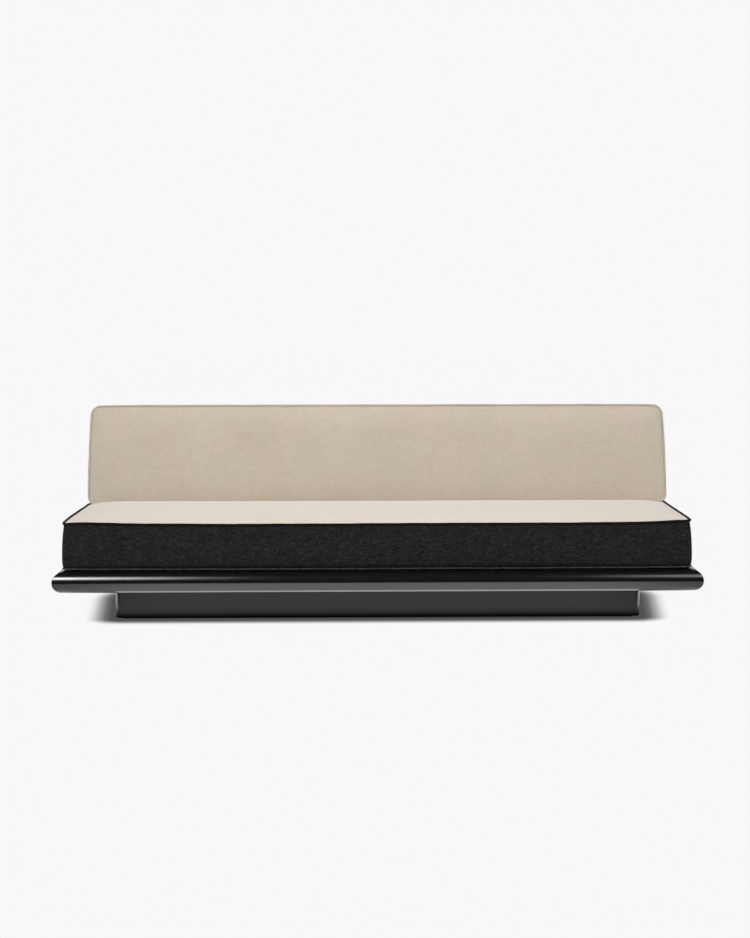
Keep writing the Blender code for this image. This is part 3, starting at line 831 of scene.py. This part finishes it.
def sewWelt(name, points, radius, wander, body, slotName, finish, node):
    clearSelection()
    path = bpy.data.curves.new(name, "CURVE")
    path.dimensions = "3D"
    path.bevel_depth = radius
    path.bevel_resolution = weltSet["roundness"]
    line = path.splines.new("POLY")
    line.points.add(len(points) - 1)
    for knot, point in zip(line.points, points):
        drift = noise.noise_vector(point * weltSet["wanderScale"]) * wander
        knot.co = (*(point + drift), 1)
        knot.radius = 1 + weltSet["uneven"] * noise.noise(point * weltSet["unevenScale"])
    line.use_cyclic_u = True
    welt = bpy.data.objects.new(name, path)
    scene.collection.objects.link(welt)
    takeHold(welt)
    bpy.ops.object.convert(target="MESH")
    welt = bpy.context.object
    bpy.ops.object.shade_smooth()
    finishPiece(welt, body, [finish], [node])


# seat mattress: beige top, black boxing and welts

seatSet = {
    "rows": (158, 52, 12),
    "boxingRows": (0, 0.04, 0.12, 0.22, 0.33, 0.44, 0.55, 0.66, 0.76, 0.85, 0.915, 0.955, 1),
    "cornerRows": 4,
    "halfWidth": 1.159,
    "front": -0.430,
    "rear": 0.26615,
    "bottom": 0.2028,
    "seam": 0.3818,
    "corner": 0.026,
    "drawIn": 0.003,
    "endDraw": (-0.0015, 0.003),
    "drawPower": 3,
    "sag": 0.012,
    "sagPower": (5, 10),
    "sagFade": 6,
    "rearDip": 0.008,
    "rearDipFade": (24, 36),
    "ears": (-0.0080, -0.0045),
    "earStart": 0.93,
    "crown": 0.0120,
    "crownEnds": (16, 10),  # how square it stays to its ends, and how much more so near the backrest
    "crownEdges": (7, 20),  # the same to the front and to the rear
    "crownSwell": 0.0040,
    "crownSlant": 0.12,
    "lip": 0.0016,
    "lipFrom": (0.3, 0.8),
    "backPress": (0.200, 0.228),
    "pressShare": 0.95,
    "pressedSwell": 0.7,
    "bulge": 0.0058,
    "bulgeEnd": 0.97,
    "bulgePower": 2.6,
    "bulgeSwell": (0.0022, 0.0004),
    "tuck": 0.0042,
    "tuckAt": (0.91, 0.962),
    "seamCorner": 0.018,
    "seamCornerEnd": 0.25,
    "shift": -0.002,
    "dents": 0.0010,
    "dentScale": 5.5,
    "pressure": 4,
    "topWelt": (0.0054, 0.0011),  # radius and wander
    "bottomWelt": (0.0023, 0.0007),
    "weltRows": (240, 80),
    "weltCornerRows": 8,
    "cordAt": (0.974, 0.016, 6),  # share, rise at the ends, and how late it rises
    "cordOut": 0.0048,
}


def easeStep(value, low, high):
    share = min(max((value - low) / (high - low), 0), 1)
    return share * share * (3 - 2 * share)


def seamDip(s, t):
    # the front seam hangs a little between its corners, and the rear one sinks under the backrest
    side = 0 if s < 0 else 1
    ear = seatSet["ears"][side] * max(0, (abs(s) - seatSet["earStart"]) / (1 - seatSet["earStart"])) ** 2
    hang = seatSet["sag"] * (1 - abs(s) ** seatSet["sagPower"][side]) - ear
    toEnds, toFront = seatSet["rearDipFade"]
    sink = seatSet["rearDip"] * (1 - abs(s) ** toEnds) * ((1 + t) / 2) ** toFront
    return hang * ((1 - t) / 2) ** seatSet["sagFade"] + sink


def seatPoint(s, t, share, out=0):
    # share runs from 0 at the top seam to 1 at the bottom; the boxing leans out and tucks in at its foot
    turn = math.pi * min(share, seatSet["bulgeEnd"]) ** seatSet["bulgePower"]
    belly = seatSet["bulge"] * math.sqrt(max(math.sin(turn), 0))
    grow = belly + out - seatSet["tuck"] * easeStep(share, *seatSet["tuckAt"])
    rounder = 1 - easeStep(share, 0, seatSet["seamCornerEnd"])  # corners are rounder at the top seam
    corner = seatSet["corner"] + grow + seatSet["seamCorner"] * rounder
    middle = (seatSet["front"] + seatSet["rear"]) / 2
    halfV = (seatSet["rear"] - seatSet["front"]) / 2
    u, v = roundedPlace(s, t, seatSet["halfWidth"] + grow, halfV + grow, corner)
    endDraw = seatSet["endDraw"][0 if s < 0 else 1]
    u -= math.copysign(endDraw * (1 - t * t) * abs(s) ** seatSet["drawPower"], s)
    v -= math.copysign(seatSet["drawIn"] * (1 - s * s) * abs(t) ** seatSet["drawPower"], t)
    z = seatSet["seam"] + (seatSet["bottom"] - seatSet["seam"]) * share
    return Vector((u + seatSet["shift"], middle + v, z - (1 - share) * seamDip(s, t)))


def cordShare(s):
    low, rise, power = seatSet["cordAt"]
    return low - rise * abs(s) ** power


def makeSeat():
    rows, cornerRows = seatSet["rows"], seatSet["cornerRows"]
    halfV = (seatSet["rear"] - seatSet["front"]) / 2
    cornerS, cornerT = 1 - seatSet["corner"] / seatSet["halfWidth"], 1 - seatSet["corner"] / halfV
    seat = cutBlock("seat_mattress", rows)
    mesh = seat.data
    held, caps, onTop = [], [], []
    for v in mesh.vertices:
        a, b, c = v.co
        s, t = shareAlong(a, rows[0], cornerRows, cornerS), shareAlong(b, rows[1], cornerRows, cornerT)
        share = seatSet["boxingRows"][round((1 - c) / 2 * rows[2])]
        v.co = seatPoint(s, t, share)
        edge = max(abs(a), abs(b)) > onFace
        if c < -onFace or (edge and c > onFace):
            held.append(v.index)
            caps.append(0)
        elif c > onFace:
            near = easeStep(t, *seatSet["lipFrom"])  # towards the backrest, which makes a lip in front of it
            pressed = easeStep(v.co.y, *seatSet["backPress"])  # under the backrest
            square, squarer = seatSet["crownEnds"]
            rise = 1 - abs(s) ** (square + squarer * near)
            rise *= 1 - abs(t) ** seatSet["crownEdges"][0 if t < 0 else 1]
            crown = (seatSet["crown"] + seatSet["lip"] * near) * (1 - seatSet["crownSlant"] * s)
            dent = seatSet["dents"] * noise.noise(v.co * seatSet["dentScale"]) * (1 - pressed)
            v.co.z += (crown * (1 - seatSet["pressShare"] * pressed) + dent) * rise
            caps.append(seatSet["crownSwell"] * (1 - seatSet["pressedSwell"] * pressed))
        else:
            swell, least = seatSet["bulgeSwell"]
            caps.append(max(swell * math.sin(math.pi * share), least))
        onTop.append(c > onFace)
    for face in mesh.polygons:
        face.material_index = 0 if all(onTop[i] for i in face.vertices) else 1
    blowUp(seat, held, caps, seatSet["pressure"])
    subdivideOnce(seat)
    takeHold(seat)
    bpy.ops.object.shade_smooth()
    finishPiece(
        seat, "seat", [paintedLitSeatVelvet, blackVelvet],
        ["seat_top_panel", "seat_foam_core", "seat_bottom_panel", "seat_boxing"],
    )

    places = edgeShares(seatSet["weltRows"], seatSet["weltCornerRows"], cornerS, cornerT)
    topLine = [seatPoint(s, t, 0) for s, t in places]
    bottomLine = [seatPoint(s, t, cordShare(s), seatSet["cordOut"]) for s, t in places]
    for name, line, size, finish, node in (
        ("seat_top_cord", topLine, seatSet["topWelt"], blackCord, "seat_top_welt"),
        ("seat_bottom_cord", bottomLine, seatSet["bottomWelt"], paintedLitCord, "seat_bottom_welt"),
    ):
        sewWelt(name, line, *size, "seat", "black_velvet", finish, node)


makeSeat()
print("seat mattress made")


# backrest cushion: beige all over, leaning back, pocketed underneath for its blades

bladePlaces = {"left": -0.966, "centre": 0.0, "right": 0.966}  # for the pockets and the blades in them
backSet = {
    "rows": (158, 36, 12),
    "cornerRows": 4,
    "foot": (0, 0.20115, 0.39675),
    "lean": 12,
    "halfWidth": 1.159,
    "height": 0.383,
    "sink": 0.012,
    "thickness": 0.165,
    "corner": 0.030,
    "topCorner": 0.034,
    "footCorner": 0.030,
    "swell": 0.003,
    "swellPower": 3,
    "taper": 0.008,
    "taperPower": 1.4,
    "topRise": (0.0038, -0.0022, -0.0030),  # middle, slant, ends
    "topRiseEnds": 10,
    "frontCrown": 0.0100,
    "rearCrown": 0.0050,
    "crownEnds": 20,  # how square both crowns stay to their ends
    "crownEdges": 5,  # the same to top and foot
    "crownSwell": 0.0045,
    "bulge": (0.0045, 0.0003),
    "footBulge": 0.12,
    "footBulgeTo": -0.7,
    "ripples": 0.0007,
    "rippleScale": (14, 1.2),
    "rippleSeed": 3.7,
    "rippleFade": (-0.9, 0.2),
    "rippleEdges": 8,
    "smoothBelow": 50,
    "pressure": 4,
    "welt": (0.0035, 0.0008),  # radius and wander
    "weltRows": (240, 60),
    "weltCornerRows": 8,
    "pocketWidth": 0.0668,
    "pocketDepth": (0.1086, 0.1228),
    "pocketSpan": (-0.03, 0.2531),
}
lean = math.radians(backSet["lean"])
upBack = Vector((0, math.sin(lean), math.cos(lean)))
intoBack = Vector((0, math.cos(lean), -math.sin(lean)))


def backPoint(s, t, share):
    # share runs from 0 at the front seam to 1 at the rear seam; it narrows a little to the top
    depth = backSet["thickness"] * share
    low, high = depth * math.tan(lean) - backSet["sink"], backSet["height"]
    height = (t + 1) / 2
    halfWidth = backSet["halfWidth"] - backSet["taper"] * height ** backSet["taperPower"]
    u, v = roundedPlace(s, t, halfWidth, (high - low) / 2, backSet["topCorner" if t > 0 else "footCorner"])
    u += math.copysign(backSet["swell"] * (1 - t * t) * abs(s) ** backSet["swellPower"], s)
    middle, slant, ends = backSet["topRise"]
    v += (middle + slant * s + ends * abs(s) ** backSet["topRiseEnds"]) * height ** 2
    return Vector(backSet["foot"]) + Vector((u, 0, 0)) + upBack * ((low + high) / 2 + v) + intoBack * depth


def cutPockets(back):
    near, far = backSet["pocketDepth"]
    half = backSet["pocketWidth"] / 2
    foot, top = backSet["pocketSpan"]
    for x in bladePlaces.values():
        cutter = addBlock("pocket_cutter", (x - half, near, foot), (x + half, far, top))
        takeHold(cutter)
        cutter.matrix_world = Matrix.Translation(backSet["foot"]) @ Matrix.Rotation(-lean, 4, "X")
        bpy.ops.object.transform_apply(location=True, rotation=True, scale=True)
        takeHold(back)
        bpy.ops.object.modifier_add(type="BOOLEAN")
        pocket = back.modifiers[-1]
        pocket.operation = "DIFFERENCE"
        pocket.solver = "EXACT"
        pocket.object = cutter
        bpy.ops.object.modifier_apply(modifier=pocket.name)
        bpy.data.objects.remove(cutter, do_unlink=True)


def makeBackrest():
    rows, cornerRows = backSet["rows"], backSet["cornerRows"]
    cornerS = 1 - backSet["corner"] / backSet["halfWidth"]
    cornerT = 1 - backSet["corner"] / (backSet["height"] / 2)
    back = cutBlock("backrest_cushion", rows)
    mesh = back.data
    held, caps = [], []
    for v in mesh.vertices:
        a, b, c = v.co
        s, t = shareAlong(a, rows[0], cornerRows, cornerS), shareAlong(b, rows[1], cornerRows, cornerT)
        share = (1 - c) / 2
        v.co = backPoint(s, t, share)
        edge = max(abs(a), abs(b)) > onFace
        rise = (1 - abs(s) ** backSet["crownEnds"]) * (1 - abs(t) ** backSet["crownEdges"])
        if edge and abs(c) > onFace:
            held.append(v.index)
            caps.append(0)
        elif c > onFace:
            along, up = backSet["rippleScale"]
            pull = noise.noise(Vector((v.co.x * along, t * up, backSet["rippleSeed"]))) * backSet["ripples"]
            pull *= 1 - easeStep(t, *backSet["rippleFade"])  # small ripples above the foot only
            v.co -= intoBack * (backSet["frontCrown"] * rise + pull * (1 - abs(t) ** backSet["rippleEdges"]))
            caps.append(backSet["crownSwell"])
        elif c < -onFace:
            v.co += intoBack * backSet["rearCrown"] * rise
            caps.append(backSet["crownSwell"])
        else:
            bulge, least = backSet["bulge"]
            free = backSet["footBulge"]  # less bulge at its foot
            free += (1 - backSet["footBulge"]) * easeStep(t, -1, backSet["footBulgeTo"])
            caps.append(max(bulge * math.sin(math.pi * share) * free, least))
    blowUp(back, held, caps, backSet["pressure"])
    subdivideOnce(back)
    cutPockets(back)
    smoothFaces(back, backSet["smoothBelow"])
    finishPiece(
        back, "backrest", [beigeVelvet],
        [
            "backrest_front_panel", "backrest_front_foam", "backrest_board",
            "backrest_rear_foam", "backrest_rear_panel", "backrest_boxing",
        ],
    )

    places = edgeShares(backSet["weltRows"], backSet["weltCornerRows"], cornerS, cornerT)
    for name, share, node in (
        ("backrest_front_cord", 0, "backrest_front_welt"),
        ("backrest_rear_cord", 1, "backrest_rear_welt"),
    ):
        line = [backPoint(s, t, share) for s, t in places]
        sewWelt(name, line, *backSet["welt"], "backrest", "beige_velvet", beigeCord, node)


makeBackrest()
print("backrest made")


# blades: flat steel bent up from a bolted foot, with rounded bends and eased edges

bladeSet = {
    "heel": (0.27415, 0.2028),
    "width": 0.060,
    "thick": 0.008,
    "foot": 0.095,
    "length": 0.42497,
    "outerBend": 0.0095,
    "outerSteps": 6,
    "innerBend": 0.0035,
    "innerSteps": 4,
    "topCorner": 0.012,
    "topSteps": 6,
    "edge": 0.0007,
    "edgeSteps": 2,
    "smoothBelow": 40,
}


def copyPiece(piece, name, shift):
    twin = piece.copy()
    twin.data = piece.data.copy()
    twin.name = name
    twin.data.name = name
    scene.collection.objects.link(twin)
    twin.data.transform(Matrix.Translation(shift))
    return twin


def easeEdges(piece):
    takeHold(piece)
    bpy.ops.object.modifier_add(type="BEVEL")
    ease = piece.modifiers[-1]
    ease.width = bladeSet["edge"]
    ease.segments = bladeSet["edgeSteps"]
    ease.limit_method = "ANGLE"
    ease.angle_limit = math.radians(bladeSet["smoothBelow"])
    bpy.ops.object.modifier_apply(modifier=ease.name)


def makeBlades():
    y, z = bladeSet["heel"]
    half, thick, length = bladeSet["width"] / 2, bladeSet["thick"], bladeSet["length"]
    back = thick * math.tan(lean)  # where the leaning front passes the foot's top
    rear = thick / math.cos(lean) + back
    blade = addBlock("support_blade_bar", (-half, y, z), (half, y + bladeSet["foot"], z + thick))
    bpy.ops.object.mode_set(mode="EDIT")
    bpy.ops.mesh.select_all(action="SELECT")
    bpy.ops.mesh.bisect(plane_co=(0, y + rear, 0), plane_no=(0, 1, 0))
    # the foot's upper front edge goes back to the lean, and the bar is drawn up from there
    pickEdges(blade, lambda a, b: max(a.y, b.y) < y + 1e-5 and min(a.z, b.z) > z + thick - 1e-5)
    bpy.ops.transform.translate(value=(0, back, 0))
    pickFaces(blade, lambda c, n: n.z > 0.9 and c.y < y + rear)
    reach = length - thick / math.cos(lean)
    bpy.ops.mesh.extrude_region_move(TRANSFORM_OT_translate={"value": upBack * reach})
    high = z + thick + reach * math.cos(lean)
    tip = y + back + reach * math.sin(lean) + thick / 2
    pickEdges(blade, lambda a, b: min(a.z, b.z) > high - 1e-4 and abs(a.y - b.y) < 1e-5 and a.y > tip)
    bpy.ops.transform.translate(value=-upBack * back)  # end cut square
    pickEdges(blade, lambda a, b: min(a.z, b.z) > high - 0.01 and abs(a.x - b.x) < 1e-6)  # end's corners
    roundPicked(bladeSet["topCorner"], bladeSet["topSteps"])
    pickEdges(blade, lambda a, b: max(a.y, b.y) < y + 1e-5 and max(a.z, b.z) < z + 1e-5)  # heel
    roundPicked(bladeSet["outerBend"], bladeSet["outerSteps"])

    def onInnerBend(p):
        return abs(p.y - y - rear) < 1e-5 and p.z > z + thick - 1e-5

    pickEdges(blade, lambda a, b: onInnerBend(a) and onInnerBend(b) and abs(a.x - b.x) > half)
    roundPicked(bladeSet["innerBend"], bladeSet["innerSteps"])
    bpy.ops.object.mode_set(mode="OBJECT")
    easeEdges(blade)
    smoothFaces(blade, bladeSet["smoothBelow"])
    for side, x in bladePlaces.items():
        twin = copyPiece(blade, f"support_blade_bar_{side}", (x, 0, 0))
        finishPiece(twin, "base", [bladeCoat], [f"support_blade_{side}"])
    bpy.data.objects.remove(blade, do_unlink=True)


makeBlades()
print("blades made")


# blade bolts: button heads with hexagon sockets

boltSet = {
    "sides": 48,
    "head": 0.007,
    "headHeight": 0.0045,
    "shank": 0.004,
    "socketRing": 0.0030,
    "socketAcross": 0.005,
    "socketDepth": 0.0026,
    "dome": 0.0030,
    "domeSteps": 6,
    "smoothBelow": 30,
}


def makeBladeBolts():
    sample = "blade_bolt_left_front"
    low, high = (Vector(corner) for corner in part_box(sample))
    middle = (low + high) / 2
    tall = boltSet["headHeight"]
    clearSelection()
    bpy.ops.mesh.primitive_cylinder_add(
        vertices=boltSet["sides"], radius=boltSet["head"], depth=tall,
        location=(middle.x, middle.y, high.z - tall / 2),
    )
    bolt = bpy.context.object
    bolt.name = "blade_bolt_head"
    bpy.ops.object.transform_apply(location=True, rotation=True, scale=True)
    pickEdges(bolt, lambda a, b: min(a.z, b.z) > high.z - 1e-5)
    roundPicked(boltSet["dome"], boltSet["domeSteps"])
    pickFaces(bolt, lambda c, n: n.z < -0.9)  # the shank is drawn down from the underside
    bpy.ops.mesh.inset(thickness=boltSet["head"] - boltSet["shank"])
    bpy.ops.mesh.extrude_region_move(TRANSFORM_OT_translate={"value": (0, 0, low.z - high.z + tall)})
    pickFaces(bolt, lambda c, n: n.z > 0.9 and c.z > high.z - 1e-5)
    bpy.ops.mesh.inset(thickness=boltSet["head"] - boltSet["dome"] - boltSet["socketRing"])
    bpy.ops.object.mode_set(mode="OBJECT")
    for v in bolt.data.vertices:  # the ring just inset is drawn out to a hexagon
        out = Vector((v.co.x - middle.x, v.co.y - middle.y, 0))
        if v.co.z > high.z - 1e-5 and out.length < boltSet["socketRing"] + 0.0002:
            angle = math.atan2(out.y, out.x) % (math.pi / 3) - math.pi / 6
            far = boltSet["socketAcross"] / 2 / math.cos(angle)
            v.co = Vector((middle.x, middle.y, v.co.z)) + out.normalized() * far
    pickFaces(bolt, lambda c, n: n.z > 0.9 and c.z > high.z - 1e-5 and (c.xy - middle.xy).length < 1e-4)
    bpy.ops.mesh.extrude_region_move(TRANSFORM_OT_translate={"value": (0, 0, -boltSet["socketDepth"])})
    bpy.ops.object.mode_set(mode="OBJECT")
    smoothFaces(bolt, boltSet["smoothBelow"])
    for name in nodes:
        if name.startswith("blade_bolt_"):
            nodeLow, nodeHigh = (Vector(corner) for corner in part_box(name))
            shift = (nodeLow + nodeHigh) / 2 - middle
            twin = copyPiece(bolt, name.replace("blade_bolt", "blade_screw"), shift)
            finishPiece(twin, "base", [zincSteel], [name])
    bpy.data.objects.remove(bolt, do_unlink=True)


makeBladeBolts()
print("blade bolts made")
